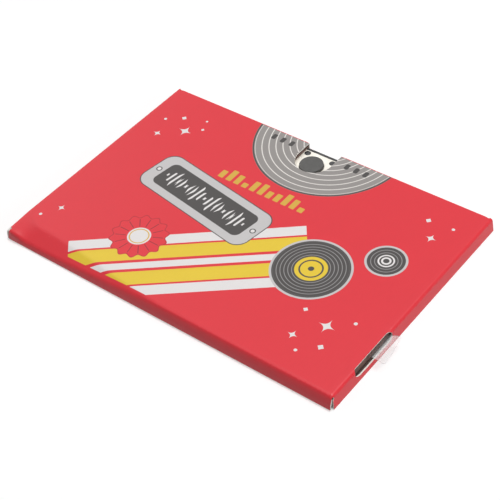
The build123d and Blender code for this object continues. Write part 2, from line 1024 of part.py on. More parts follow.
def speaker_lead(side):
    y = speaker_y + side * tag_width / 4
    return [
        (tag_left + tag_length / 2, y, tag_lead_z),
        (tag_right + lead_run, y, tag_lead_z),
        (tag_right + lead_run + lead_slope, y + side * lead_spread / 4, lead_level),
        (tag_right + lead_run + 2 * lead_slope, y + side * lead_spread, lead_level),
        (board_lead_x, y + side * lead_spread, lead_level),
    ]


def switch_lead(side):
    x = button_x + side * leg_pitch / 2
    level = switch_bottom + 2 * leg_thickness + lead_diameter / 2
    end_x = board_lead_x + (side + 1) * lead_spread
    end_y = sound_board_back - lead_run - (1 - side) * lead_spread / 2
    return [
        (x, leg_lead_y, level),
        (x, leg_lead_y - lead_run, level),
        (x + lead_spread, leg_lead_y - lead_run - lead_slope, lead_level),
        (end_x, end_y, lead_level),
    ]


def battery_lead(side):
    if side > 0:
        start_y = lower_tail_y - contact_tail / 2
        start_z = cell_bottom + lead_diameter / 2
        end_y = mic_y - lead_below_mic
    else:
        start_y = upper_tail_y + contact_tail / 2
        start_z = upper_contact_level - lead_diameter / 2
        end_y = start_y + 2 * lead_spread
    return [
        (cell_x, start_y, start_z),
        (cell_x - holder_half_x, start_y, start_z),
        (sound_board_right, start_y - side * lead_spread, lead_level),
        (battery_solder_x, end_y, lead_level),
    ]


lead_routes = {
    "speaker_lead_black": speaker_lead(-1),
    "speaker_lead_red": speaker_lead(1),
    "switch_lead_white": switch_lead(-1),
    "switch_lead_yellow": switch_lead(1),
    "battery_lead_black": battery_lead(-1),
    "battery_lead_red": battery_lead(1),
}
leads = {name: make_lead(points) for name, points in lead_routes.items()}


def make_solder():
    """A drop of solder on the board just past the end of each lead."""
    joints = []
    for points in lead_routes.values():
        end = Vector(points[-1])
        run = (end - Vector(points[-2])).normalized()
        spot = end + run * (solder_diameter / 2)
        joints.append(cap(spot.X, spot.Y, sound_board_bottom, solder_diameter, solder_height))
    return group(joints)


nodes = {
    "back_page": make_back_page(),
    "spine_wall": make_spine_wall(),
    "front_case": make_front_case(),
    "inner_liner": make_liner(),
    "spacer_block": make_spacer(),
    "play_switch_base": make_play_base(),
    "play_switch_plate": make_play_plate(),
    "play_switch_dome": snap_dome(button_x, play_y, well_floor, dome_span, dome_height, dome_thickness),
    "play_button": make_play_button(),
    "play_switch_legs": make_play_legs(),
    "play_switch_tape": make_play_tape(),
    "sound_board": make_sound_board(),
    "sound_board_tape": make_board_tape(),
    "sound_chip": make_die(),
    "chip_blob": make_blob(),
    "capacitors": make_capacitors(),
    "resistors": make_resistors(),
    "solder_joints": make_solder(),
    "record_switch_base": make_record_base(),
    "record_switch_plate": make_record_plate(),
    "record_switch_dome": make_record_dome(),
    "record_button": make_record_button(),
    "record_switch_legs": make_record_legs(),
    "lock_switch_base": make_lock_base(),
    "lock_switch_case": make_lock_case(),
    "lock_knob": make_lock_knob(),
    "lock_switch_legs": make_lock_legs(),
    "microphone_can": make_mic_can(),
    "microphone_felt": make_mic_felt(),
    "microphone_pins": make_mic_pins(),
    "speaker_frame": make_speaker_frame(),
    "speaker_cone": make_cone(),
    "speaker_coil": make_coil(),
    "speaker_yoke": make_yoke(),
    "speaker_magnet": make_magnet(),
    "speaker_pole_plate": make_pole_plate(),
    "speaker_terminal_board": make_speaker_tag(),
    "speaker_tape": make_speaker_tape(),
    "battery_holder": make_holder(),
    "battery_cells": make_cells(),
    "battery_lower_contacts": make_lower_contacts(),
    "battery_upper_contacts": make_upper_contacts(),
    "battery_tape": make_holder_tape(),
    "pull_tab": make_pull_tab(),
}
nodes.update(leads)

os.makedirs("parts", exist_ok=True)
for name, shape in nodes.items():
    export_step(shape, f"parts/{name}.step")
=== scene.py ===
import math
import bpy
import bmesh
import numpy as np
from mathutils import Matrix, Vector
from mathutils.geometry import delaunay_2d_cdt


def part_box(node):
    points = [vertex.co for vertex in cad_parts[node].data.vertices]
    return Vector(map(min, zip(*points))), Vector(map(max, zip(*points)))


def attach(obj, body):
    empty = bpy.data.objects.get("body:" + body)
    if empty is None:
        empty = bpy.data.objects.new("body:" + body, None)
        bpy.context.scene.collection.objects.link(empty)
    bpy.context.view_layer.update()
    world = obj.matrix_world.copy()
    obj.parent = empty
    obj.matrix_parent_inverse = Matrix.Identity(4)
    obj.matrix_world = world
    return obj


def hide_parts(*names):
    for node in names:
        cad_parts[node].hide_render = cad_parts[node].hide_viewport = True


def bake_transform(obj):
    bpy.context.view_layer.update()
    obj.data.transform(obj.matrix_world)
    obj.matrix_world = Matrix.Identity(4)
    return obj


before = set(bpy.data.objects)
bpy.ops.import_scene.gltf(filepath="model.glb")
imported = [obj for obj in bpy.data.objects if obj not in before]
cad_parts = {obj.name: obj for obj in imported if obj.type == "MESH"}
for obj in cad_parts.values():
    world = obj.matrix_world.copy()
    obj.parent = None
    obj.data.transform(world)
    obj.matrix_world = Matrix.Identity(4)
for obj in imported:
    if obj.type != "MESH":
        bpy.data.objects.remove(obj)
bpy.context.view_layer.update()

# Sizes of the card, in millimetres: its length, depth, height, board, side folds, back fold
# and notch are those of the CAD source
MM = 0.001
LENGTH = 120.0
DEPTH = 81.0
HEIGHT = 4.5
BOARD = 0.45
LEAN = math.atan(0.5 / HEIGHT)
FOLD = 1.0
BACK_FOLD = 0.5
PAGE_FOLD = 0.5
NOTCH_WIDTH = 12.4
NOTCH_DEPTH = 12.1
NOTCH_X = 0.45
SIDE_FOLD_X = LENGTH / 2 - FOLD / math.cos(LEAN) - (HEIGHT - FOLD) * math.tan(LEAN)
BACK_FOLD_Y = DEPTH / 2 - BACK_FOLD
SIDE_TURN = math.pi / 2 - LEAN
SIDE_FOOT_GAP = 0.08
BACK_FOOT_GAP = 0.02
SIDE_DROP = HEIGHT - FOLD + FOLD * math.sin(LEAN) - SIDE_FOOT_GAP
SIDE_END = SIDE_FOLD_X + FOLD * SIDE_TURN + SIDE_DROP / math.cos(LEAN)
BACK_END = BACK_FOLD_Y + BACK_FOLD * math.pi / 2 + HEIGHT - BACK_FOLD - BACK_FOOT_GAP

# The board dips a little and unevenly over this much of the top
DIP = 0.12
DIP_LENGTH = 104
DIP_DEPTH = 68

# Corners of the bend over the spine, in Y and Z: taut along the card, sagging towards its left end,
# and held up again by the side fold at that end
BEND_START = -30.0
HELD = ((-31.0, 4.5), (-40.0, 3.75), (-40.35, 2.6), (-40.5, 0.5))
TAUT = ((-38.9, 4.5), (-39.5, 4.0), (-40.2, 2.2), (-40.5, 0.5))
SAGGED = ((-34.5, 4.5), (-39.8, 2.15), (-40.35, 1.2), (-40.5, 0.5))
SAG_START = 5.0
SAG_END = -51.0
CARD_END = -59.4
SOFTNESS = 0.7
BEND_RUN = sum(math.dist(a, b) for a, b in zip(((BEND_START, HEIGHT), *TAUT), TAUT))

# The blank along V: flat to the bend, then the seam, the spine, its foot and the page
SEAM = -39.2
CREASE_END = -41.6
WALL_FOOT = BEND_START - BEND_RUN
PAGE_START = WALL_FOOT - PAGE_FOLD * math.pi / 2
SPINE_LEFT = -58.6
SPINE_LEFT_FOOT = -59.4
SPINE_RIGHT = 59.45
SLIT = 0.5
LEFT_FLAP = -40.3
RIGHT_FLAP = -39.5
PAGE_FOLD_Y = -DEPTH / 2 + PAGE_FOLD
PAGE_HALF = 59.2
PAGE_BACK = 39.7


def ease(x):
    """0 to 1, smooth at both ends."""
    x = np.clip(x, 0, 1)
    return x * x * (3 - 2 * x)


# Folding a flat blank of board
def covered(reach, length):
    """How much of a leg lies within reach, summed over all shorter reaches."""
    reach = np.maximum(reach, 0)
    inner = np.minimum(reach, length)
    return inner * (reach - inner / 2)


def spine_bend(u, v, depth):
    """Y and Z along the cover, over the soft bend, down the spine and back under the page."""
    sag = ease((SAG_START - u) / (SAG_START - SAG_END))
    held = ease((SAG_END - u) / (SAG_END - CARD_END))
    corners = [(BEND_START, HEIGHT)]
    for rows in zip(TAUT, SAGGED, HELD):
        corners.append([(t + (s - t) * sag) * (1 - held) + h * held for t, s, h in zip(*rows)])
    legs = [(b[0] - a[0], b[1] - a[1]) for a, b in zip(corners, corners[1:])]
    lengths = [np.hypot(*leg) for leg in legs]
    run = np.clip((BEND_START - v) / BEND_RUN, 0, 1) * sum(lengths)
    window = 2 * SOFTNESS
    y, z, along_y, along_z = BEND_START + window, HEIGHT, 0.0, 0.0
    start = -window
    for index, ((leg_y, leg_z), length) in enumerate(zip(legs, lengths)):
        room = length + window * ((index == 0) + (index == len(legs) - 1))
        low, high = run - start - SOFTNESS, run - start + SOFTNESS
        share = (covered(high, room) - covered(low, room)) / window / length
        rate = (np.clip(high, 0, room) - np.clip(low, 0, room)) / length
        y, z = y + leg_y * share, z + leg_z * share
        along_y, along_z = along_y + leg_y * rate, along_z + leg_z * rate
        start = start + length + window * (index == 0)
    size = np.hypot(along_y, along_z)
    y = y - depth * along_z / size
    z = z + depth * along_y / size
    y = np.where(v > BEND_START, v, y)
    under = np.clip((WALL_FOOT - v) / PAGE_FOLD, 0, math.pi / 2)
    page = np.maximum(PAGE_START - v, 0)
    q = PAGE_FOLD - depth
    return y + q * (1 - np.cos(under)) + page, z - q * np.sin(under)


def fold_card(u, v, depth, straight=0.0):
    """A point of the flat blank, at a depth under its printed face, moved to its folded place."""
    side = np.where(u < 0, -1.0, 1.0)
    a = np.abs(u)
    turn = np.clip((a - SIDE_FOLD_X) / FOLD, 0, SIDE_TURN)
    wall = np.maximum(a - SIDE_FOLD_X - FOLD * SIDE_TURN, 0)
    r = FOLD - depth
    x = np.minimum(a, SIDE_FOLD_X) + r * np.sin(turn) + wall * math.sin(LEAN)
    z = HEIGHT - FOLD + r * np.cos(turn) - wall * math.cos(LEAN)
    x = x + (a - x) * straight
    top = HEIGHT - depth
    drop = (top - z) * (1 - straight)
    hold = np.clip(1 - drop / (top - BACK_FOOT_GAP), 0, 1) ** 4
    front_y, front_z = spine_bend(u, v, depth)
    over = (v > BACK_FOLD_Y) & (a <= SIDE_FOLD_X)
    back_turn = np.clip((v - BACK_FOLD_Y) / BACK_FOLD, 0, math.pi / 2)
    back_wall = np.maximum(v - BACK_FOLD_Y - BACK_FOLD * math.pi / 2, 0)
    q = BACK_FOLD - depth
    back_y = BACK_FOLD_Y + q * np.sin(back_turn)
    back_z = HEIGHT - BACK_FOLD + q * np.cos(back_turn) - back_wall
    y = np.where(over, back_y, v + (front_y - v) * hold)
    z = np.where(over, back_z - drop, top - drop + (front_z - top) * hold)
    along = np.sin(np.clip((x + DIP_LENGTH / 2) / DIP_LENGTH, 0, 1) * math.pi)
    dip = along * np.sin(np.clip((y - BEND_START) / DIP_DEPTH, 0, 1) * math.pi)
    ripple = 0.5 + 0.5 * np.sin(0.11 * x * side + 0.7) * np.sin(0.13 * y + 1.9)
    z = z - DIP * dip * ripple * (v > BEND_START)
    return np.stack([x * side, y, z], axis=-1)


def fold_spine(u, v, depth):
    """The same blank below the seam, where its ends run straight down instead of over the side folds."""
    return fold_card(u, v, depth, ease((SEAM - v) / 1.5))


def stations(low, high, step):
    return list(np.linspace(low, high, max(2, int(math.ceil((high - low) / step)) + 1)))


def dense_path(corners, step):
    """The same closed outline with points no further apart than step."""
    path = []
    for (x0, y0), (x1, y1) in zip(corners, corners[1:] + corners[:1]):
        count = max(1, int(math.ceil(math.hypot(x1 - x0, y1 - y0) / step)))
        path += [(x0 + (x1 - x0) * i / count, y0 + (y1 - y0) * i / count) for i in range(count)]
    return path


def arc_points(cx, cy, radius, first, last, count):
    angles = np.linspace(math.radians(first), math.radians(last), count)
    return [(cx + radius * math.cos(t), cy + radius * math.sin(t)) for t in angles]


def inside(path, x, y):
    """Which points lie inside a closed path."""
    hit = np.zeros(x.shape, bool)
    for (x0, y0), (x1, y1) in zip(path, path[1:] + path[:1]):
        if y0 == y1:
            continue
        crosses = (y0 > y) != (y1 > y)
        hit ^= crosses & (x < (x1 - x0) * (y - y0) / (y1 - y0) + x0)
    return hit


def nearness(path, x, y):
    """The shortest distance from each point to a path's corners."""
    best = np.full(x.shape, 1e9)
    for px, py in path:
        best = np.minimum(best, np.hypot(x - px, y - py))
    return best


# Inner points of a blank keep at least this far from its outline
EDGE_ROOM = 0.07


def board_piece(name, outline, us, vs, holes=(), fold=fold_card, thickness=BOARD, materials=()):
    """A die-cut blank, meshed flat, folded, and closed with cut edges all round."""
    grid_u, grid_v = np.meshgrid(us, vs)
    grid_u, grid_v = grid_u.ravel(), grid_v.ravel()
    keep = inside(outline, grid_u, grid_v)
    for hole in holes:
        keep &= ~inside(hole, grid_u, grid_v)
    edge = list(outline) + [p for hole in holes for p in hole]
    keep &= nearness(edge, grid_u, grid_v) > EDGE_ROOM
    points = [Vector(p) for p in edge] + [Vector(p) for p in zip(grid_u[keep], grid_v[keep])]
    lines, start = [], 0
    for ring in [outline, *holes]:
        count = len(ring)
        lines += [(start + i, start + (i + 1) % count) for i in range(count)]
        start += count
    flat, _, faces, *_ = delaunay_2d_cdt(points, lines, [], 0, 1e-5)
    flat = np.array([tuple(p) for p in flat])
    middle = np.array([flat[list(face)].mean(axis=0) for face in faces])
    solid = inside(outline, middle[:, 0], middle[:, 1])
    for hole in holes:
        solid &= ~inside(hole, middle[:, 0], middle[:, 1])
    faces = [tuple(face) for face, good in zip(faces, solid) if good]
    outer = fold(flat[:, 0], flat[:, 1], 0.0) * MM
    inner = fold(flat[:, 0], flat[:, 1], thickness) * MM
    count = len(flat)
    used = {}
    for face in faces:
        for line in zip(face, face[1:] + face[:1]):
            used[line] = True
    rim = [(a, b) for a, b in used if (b, a) not in used]
    mesh = bpy.data.meshes.new(name)
    solid_faces = list(faces)
    solid_faces += [tuple(count + i for i in reversed(face)) for face in faces]
    solid_faces += [(b, a, count + a, count + b) for a, b in rim]
    mesh.from_pydata([tuple(p) for p in np.vstack([outer, inner])], [], solid_faces)
    index = [0] * len(faces) + [1] * len(faces) + [2] * len(rim)
    mesh.polygons.foreach_set("material_index", index)
    mesh.polygons.foreach_set("use_smooth", [True] * len(solid_faces))
    for material in materials:
        mesh.materials.append(material)
    work = bmesh.new()
    work.from_mesh(mesh)
    for line in work.edges:
        kinds = {face.material_index for face in line.link_faces}
        line.smooth = len(kinds) == 1
        if kinds == {2} and line.calc_face_angle(0) > 0.5:
            line.smooth = False
    bmesh.ops.delete(work, geom=[v for v in work.verts if not v.link_faces], context="VERTS")
    work.to_mesh(mesh)
    work.free()
    mesh.validate()
    piece = bpy.data.objects.new(name, mesh)
    bpy.context.collection.objects.link(piece)
    return piece


# Colours and materials
def ink(red, green, blue):
    """A screen colour, 0 to 255, as the linear values that a shader takes."""
    levels = [c / 255 for c in (red, green, blue)]
    return tuple(c / 12.92 if c <= 0.04045 else ((c + 0.055) / 1.055) ** 2.4 for c in levels) + (1.0,)


class Sketch:
    """A small drawing board on a node tree: values are sockets or plain numbers."""

    def __init__(self, tree):
        self.tree = tree

    def node(self, kind, **settings):
        made = self.tree.nodes.new(kind)
        for key, value in settings.items():
            setattr(made, key, value)
        return made

    def put(self, socket, value):
        if isinstance(value, bpy.types.NodeSocket):
            self.tree.links.new(value, socket)
        else:
            socket.default_value = value

    def math(self, operation, *values, clamp=False):
        made = self.node("ShaderNodeMath", operation=operation, use_clamp=clamp)
        for socket, value in zip(made.inputs, values):
            self.put(socket, value)
        return made.outputs[0]

    def vector(self, operation, *values):
        made = self.node("ShaderNodeVectorMath", operation=operation)
        for socket, value in zip(made.inputs, values):
            self.put(socket, value)
        return made.outputs["Value" if operation in ("LENGTH", "DISTANCE") else "Vector"]

    def millimetres(self):
        """Where a point lies on its piece, in millimetres."""
        place = self.node("ShaderNodeTexCoord").outputs["Object"]
        return self.vector("MULTIPLY", place, (1000.0, 1000.0, 1000.0))

    def parts(self, vector):
        made = self.node("ShaderNodeSeparateXYZ")
        self.put(made.inputs[0], vector)
        return made.outputs

    def join(self, x, y, z=0.0):
        made = self.node("ShaderNodeCombineXYZ")
        for socket, value in zip(made.inputs, (x, y, z)):
            self.put(socket, value)
        return made.outputs[0]

    def mix(self, mask, under, over):
        made = self.node("ShaderNodeMix", data_type="RGBA")
        self.put(made.inputs[0], mask)
        self.put(made.inputs[6], under)
        self.put(made.inputs[7], over)
        return made.outputs[2]

    def noise(self, vector, scale, detail=3.0, roughness=0.5):
        made = self.node("ShaderNodeTexNoise")
        self.put(made.inputs["Vector"], vector)
        made.inputs["Scale"].default_value = scale
        made.inputs["Detail"].default_value = detail
        made.inputs["Roughness"].default_value = roughness
        return made.outputs["Fac"]

    def ramp(self, value, low, high, first=0.0, last=1.0):
        made = self.node("ShaderNodeMapRange", clamp=True)
        for socket, number in zip(made.inputs, (value, low, high, first, last)):
            self.put(socket, number)
        return made.outputs[0]

    def below(self, distance, limit, soft=0.06):
        """1 where a distance is under its limit, with a thin soft edge."""
        return self.ramp(distance, limit + soft, limit - soft)

    def turned(self, place, x, y, degrees):
        """The drawing's plane moved to a motif's centre and turned with it."""
        moved = self.vector("SUBTRACT", place, (x, y, 0.0))
        if not degrees:
            return moved
        made = self.node("ShaderNodeVectorRotate", rotation_type="Z_AXIS")
        self.put(made.inputs["Vector"], moved)
        made.inputs["Angle"].default_value = -math.radians(degrees)
        return made.outputs[0]

    def disc(self, place, x, y, radius):
        return self.below(self.vector("DISTANCE", place, (x, y, 0.0)), radius)

    def ring(self, place, x, y, radius, width):
        far = self.vector("DISTANCE", place, (x, y, 0.0))
        return self.below(self.math("ABSOLUTE", self.math("SUBTRACT", far, radius)), width / 2)

    def bar(self, place, x, y, width, height, corner=0.0, degrees=0):
        """A rounded bar."""
        flat = self.turned(place, x, y, degrees)
        size = (width / 2 - corner, height / 2 - corner, 1.0)
        reach = self.vector("SUBTRACT", self.vector("ABSOLUTE", flat), size)
        across, up, _ = self.parts(reach)
        outside = self.vector("LENGTH", self.vector("MAXIMUM", reach, (0.0, 0.0, 0.0)))
        within = self.math("MINIMUM", self.math("MAXIMUM", across, up), 0.0)
        return self.below(self.math("ADD", outside, within), corner)

    def spark(self, place, x, y, size):
        """A four-pointed sparkle."""
        across, up, _ = self.parts(self.vector("ABSOLUTE", self.turned(place, x, y, 0)))
        total = self.math("ADD", self.math("SQRT", across), self.math("SQRT", up))
        return self.below(total, math.sqrt(size))

    def diamond(self, place, x, y, size):
        across, up, _ = self.parts(self.vector("ABSOLUTE", self.turned(place, x, y, 0)))
        return self.below(self.math("ADD", across, up), size)


def new_group(name, inputs, outputs):
    tree = bpy.data.node_groups.new(name, "ShaderNodeTree")
    for label, kind, value in inputs:
        socket = tree.interface.new_socket(label, in_out="INPUT", socket_type=kind)
        socket.default_value = value
    for label, kind in outputs:
        tree.interface.new_socket(label, in_out="OUTPUT", socket_type=kind)
    entry, leave = tree.nodes.new("NodeGroupInput"), tree.nodes.new("NodeGroupOutput")
    return tree, entry.outputs, leave.inputs


def make_fibre_group():
    """Paper fibres and mottling: a shade to multiply a colour by, and a height for a bump."""
    tree, given, result = new_group(
        "Paper fibres",
        [("Scale", "NodeSocketFloat", 1.0), ("Strength", "NodeSocketFloat", 0.1)],
        [("Shade", "NodeSocketColor"), ("Height", "NodeSocketFloat")],
    )
    draw = Sketch(tree)
    place = draw.node("ShaderNodeTexCoord").outputs["Object"]
    scaled = draw.node("ShaderNodeVectorMath", operation="SCALE")
    draw.put(scaled.inputs[0], place)
    draw.put(scaled.inputs["Scale"], given["Scale"])
    fine = draw.noise(scaled.outputs[0], 5200, 4, 0.65)
    broad = draw.noise(scaled.outputs[0], 260, 3, 0.5)
    strands = draw.noise(draw.vector("MULTIPLY", scaled.outputs[0], (1.0, 0.16, 1.0)), 3600, 2, 0.6)
    height = draw.math("ADD", draw.math("MULTIPLY", fine, 0.6), draw.math("MULTIPLY", strands, 0.4))
    swing = draw.math("SUBTRACT", draw.math("ADD", height, draw.math("MULTIPLY", broad, 0.5)), 0.75)
    level = draw.math("ADD", draw.math("MULTIPLY", swing, draw.math("MULTIPLY", given["Strength"], 2.0)), 1.0)
    draw.put(result["Shade"], draw.join(level, level, level))
    draw.put(result["Height"], height)
    return tree


def make_moulded_group():
    """Moulded plastic: a fine spark-eroded grain and faint wear."""
    tree, given, result = new_group(
        "Moulded grain",
        [("Scale", "NodeSocketFloat", 1.0)],
        [("Height", "NodeSocketFloat"), ("Wear", "NodeSocketFloat")],
    )
    draw = Sketch(tree)
    place = draw.node("ShaderNodeTexCoord").outputs["Object"]
    scaled = draw.node("ShaderNodeVectorMath", operation="SCALE")
    draw.put(scaled.inputs[0], place)
    draw.put(scaled.inputs["Scale"], given["Scale"])
    draw.put(result["Height"], draw.noise(scaled.outputs[0], 9000, 2, 0.5))
    draw.put(result["Wear"], draw.noise(scaled.outputs[0], 500, 3, 0.55))
    return tree


FIBRES = make_fibre_group()
GRAIN = make_moulded_group()


def new_material(name):
    material = bpy.data.materials.new(name)
    material.use_nodes = True
    shader = material.node_tree.nodes["Principled BSDF"]
    return material, Sketch(material.node_tree), shader.inputs


def use_group(draw, tree, **values):
    made = draw.node("ShaderNodeGroup", node_tree=tree)
    for key, value in values.items():
        draw.put(made.inputs[key], value)
    return made.outputs


def bump(draw, height, strength, distance):
    made = draw.node("ShaderNodeBump")
    made.inputs["Strength"].default_value = strength
    made.inputs["Distance"].default_value = distance
    draw.put(made.inputs["Height"], height)
    return made.outputs[0]


def paper(name, colour, strength, rough, scale=1.0):
    material, draw, inputs = new_material(name)
    fibres = use_group(draw, FIBRES, Scale=scale, Strength=strength)
    tint = draw.node("ShaderNodeMix", data_type="RGBA", blend_type="MULTIPLY")
    tint.inputs[0].default_value = 1.0
    draw.put(tint.inputs[6], colour)
    draw.put(tint.inputs[7], fibres["Shade"])
    draw.put(inputs["Base Color"], tint.outputs[2])
    draw.put(inputs["Roughness"], draw.ramp(fibres["Height"], 0.3, 0.7, rough - 0.06, rough + 0.06))
    draw.put(inputs["Normal"], bump(draw, fibres["Height"], 0.25, 0.00004))
    return material, draw, tint


def plastic(name, colour, rough, worn=0.04):
    material, draw, inputs = new_material(name)
    grain = use_group(draw, GRAIN, Scale=1.0)
    pale = tuple(min(1.0, c + worn) for c in colour[:3]) + (1.0,)
    draw.put(inputs["Base Color"], draw.mix(draw.ramp(grain["Wear"], 0.45, 0.7), colour, pale))
    draw.put(inputs["Roughness"], draw.ramp(grain["Wear"], 0.3, 0.7, rough - 0.05, rough + 0.07))
    draw.put(inputs["Normal"], bump(draw, grain["Height"], 0.15, 0.00003))
    return material


def metal(name, colour, rough, metallic=1.0, brushed=0.0):
    material, draw, inputs = new_material(name)
    place = draw.node("ShaderNodeTexCoord").outputs["Object"]
    lines = draw.noise(draw.vector("MULTIPLY", place, (1.0, 14.0, 1.0)), 1500, 3, 0.6)
    clouds = draw.noise(place, 420, 3, 0.5)
    dull = tuple(c * 0.86 for c in colour[:3]) + (1.0,)
    draw.put(inputs["Base Color"], draw.mix(draw.ramp(clouds, 0.35, 0.7), colour, dull))
    inputs["Metallic"].default_value = metallic
    draw.put(inputs["Roughness"], draw.ramp(lines, 0.3, 0.7, rough - 0.05, rough + 0.1))
    draw.put(inputs["Normal"], bump(draw, lines, 0.1 + brushed, 0.00002))
    return material


def make_printed_board():
    """Satin red print over coated board, with the artwork on the front cover only."""
    material, draw, inputs = new_material("Printed cover")
    place = draw.millimetres()
    x, y, z = draw.parts(place)
    flat = draw.join(x, y)
    panel = draw.bar(flat, 0.0, 0.9, 117.0, 78.2)
    top = draw.math("MULTIPLY", panel, draw.ramp(z, 1.4, 1.5))

    red = ink(228, 40, 54)
    grey = ink(152, 147, 144)
    pale_grey = ink(206, 203, 203)
    dark = ink(62, 58, 57)
    cream = ink(240, 235, 230)
    yellow = ink(238, 205, 50)
    gold = ink(222, 176, 66)
    white = ink(238, 234, 233)

    art = red
    # Slanting streamers in white and yellow
    slant, across, _ = draw.parts(draw.turned(flat, 6.0, -14.0, 38))
    lane = draw.math("ABSOLUTE", across)
    long = draw.math("MULTIPLY", draw.ramp(slant, -48.1, -48.0), draw.ramp(slant, 22.1, 22.0))
    outer_lane = draw.below(draw.math("ABSOLUTE", draw.math("SUBTRACT", lane, 10.2)), 1.9)
    inner_lane = draw.below(draw.math("ABSOLUTE", draw.math("SUBTRACT", lane, 5.0)), 2.6)
    art = draw.mix(draw.math("MULTIPLY", outer_lane, long), art, white)
    art = draw.mix(draw.math("MULTIPLY", inner_lane, long), art, yellow)
    art = draw.mix(draw.math("MULTIPLY", draw.below(lane, 1.3), long), art, white)

    # A ribbed half round about the notch
    fan = draw.vector("DISTANCE", flat, (NOTCH_X, 44.0, 0.0))
    ribs = draw.math("PINGPONG", fan, 1.1)
    art = draw.mix(draw.below(fan, 25.0), art, grey)
    art = draw.mix(draw.math("MULTIPLY", draw.below(ribs, 0.16), draw.below(fan, 24.2)), art, cream)
    art = draw.mix(draw.ring(flat, NOTCH_X, 44.0, 24.7, 0.5), art, dark)
    for side in (-1, 1):
        for step in range(3):
            dot_x = NOTCH_X + side * (10.5 + 3.4 * step)
            art = draw.mix(draw.bar(flat, dot_x, 37.0, 1.5, 2.4, 0.5), art, dark)

    # A rosette in red, with pleats
    rose_x, rose_y = -23.0, -21.0
    petal_x, petal_y, _ = draw.parts(draw.turned(flat, rose_x, rose_y, 0))
    angle = draw.math("ARCTAN2", petal_y, petal_x)
    scallop = draw.math("MULTIPLY", draw.math("COSINE", draw.math("MULTIPLY", angle, 14.0)), 0.55)
    far = draw.vector("DISTANCE", flat, (rose_x, rose_y, 0.0))
    art = draw.mix(draw.below(draw.math("ADD", far, scallop), 8.6), art, ink(196, 26, 42))
    art = draw.mix(draw.below(draw.math("ADD", far, scallop), 8.2), art, red)
    waves = draw.math("ABSOLUTE", draw.math("SINE", draw.math("MULTIPLY", angle, 7.0)))
    pleats = draw.below(draw.math("MULTIPLY", waves, far), 0.9, 0.4)
    petals = draw.below(draw.math("ABSOLUTE", draw.math("SUBTRACT", far, 5.7)), 1.6)
    pleats = draw.math("MULTIPLY", pleats, petals)
    art = draw.mix(draw.math("MULTIPLY", pleats, 0.8), art, ink(120, 20, 32))
    art = draw.mix(draw.disc(flat, rose_x, rose_y, 3.6), art, white)
    art = draw.mix(draw.ring(flat, rose_x, rose_y, 2.9, 0.35), art, gold)

    # A sound wave on a pale plate
    wave_x, wave_y, tilt = -17.0, 2.2, -9
    art = draw.mix(draw.bar(flat, wave_x, wave_y, 47.0, 16.5, 4.2, tilt), art, dark)
    art = draw.mix(draw.bar(flat, wave_x, wave_y, 46.4, 15.9, 4.0, tilt), art, pale_grey)
    art = draw.mix(draw.bar(flat, wave_x, wave_y, 38.5, 10.6, 2.2, tilt), art, dark)
    run, rise, _ = draw.parts(draw.turned(flat, wave_x, wave_y, tilt))
    beat = draw.math("PINGPONG", run, 0.85)
    swing = draw.math("ABSOLUTE", draw.math("SINE", draw.math("MULTIPLY", run, 0.37)))
    flutter = draw.math("ABSOLUTE", draw.math("SINE", draw.math("MULTIPLY", run, 1.31)))
    tall = draw.math("ADD", draw.math("MULTIPLY", draw.math("MULTIPLY", swing, flutter), 3.2), 0.5)
    over = draw.math("SUBTRACT", draw.math("ABSOLUTE", rise), tall)
    wave = draw.math("MULTIPLY", draw.below(beat, 0.36), draw.below(over, 0.0))
    art = draw.mix(draw.math("MULTIPLY", wave, draw.below(draw.math("ABSOLUTE", run), 17.2)), art, white)
    for screw_x in (-21.2, 21.2):
        across = wave_x + screw_x * math.cos(math.radians(tilt))
        up = wave_y + screw_x * math.sin(math.radians(tilt))
        art = draw.mix(draw.disc(flat, across, up, 1.0), art, dark)
        art = draw.mix(draw.disc(flat, across, up, 0.65), art, white)

    # Two records
    for record_x, record_y, size, label in ((27.5, -4.5, 12.0, yellow), (43.5, 9.5, 6.2, white)):
        art = draw.mix(draw.disc(flat, record_x, record_y, size), art, pale_grey)
        art = draw.mix(draw.disc(flat, record_x, record_y, size - 0.7), art, dark)
        far = draw.vector("DISTANCE", flat, (record_x, record_y, 0.0))
        line = draw.below(draw.math("PINGPONG", far, 0.55), 0.1)
        grooves = draw.math("MULTIPLY", line, draw.below(far, size - 1.1))
        art = draw.mix(draw.math("MULTIPLY", grooves, 0.5), art, pale_grey)
        art = draw.mix(draw.disc(flat, record_x, record_y, size * 0.4), art, label)
        art = draw.mix(draw.ring(flat, record_x, record_y, size * 0.28, 0.5), art, dark)
        art = draw.mix(draw.disc(flat, record_x, record_y, 0.9), art, dark)

    # A row of gold level bars
    for step in range(11):
        tall = 1.8 + 3.2 * abs(math.sin(0.9 * step + 0.5))
        art = draw.mix(draw.bar(flat, -19.5 + 3.0 * step, 12.6 + tall / 2, 1.9, tall, 0.3), art, gold)

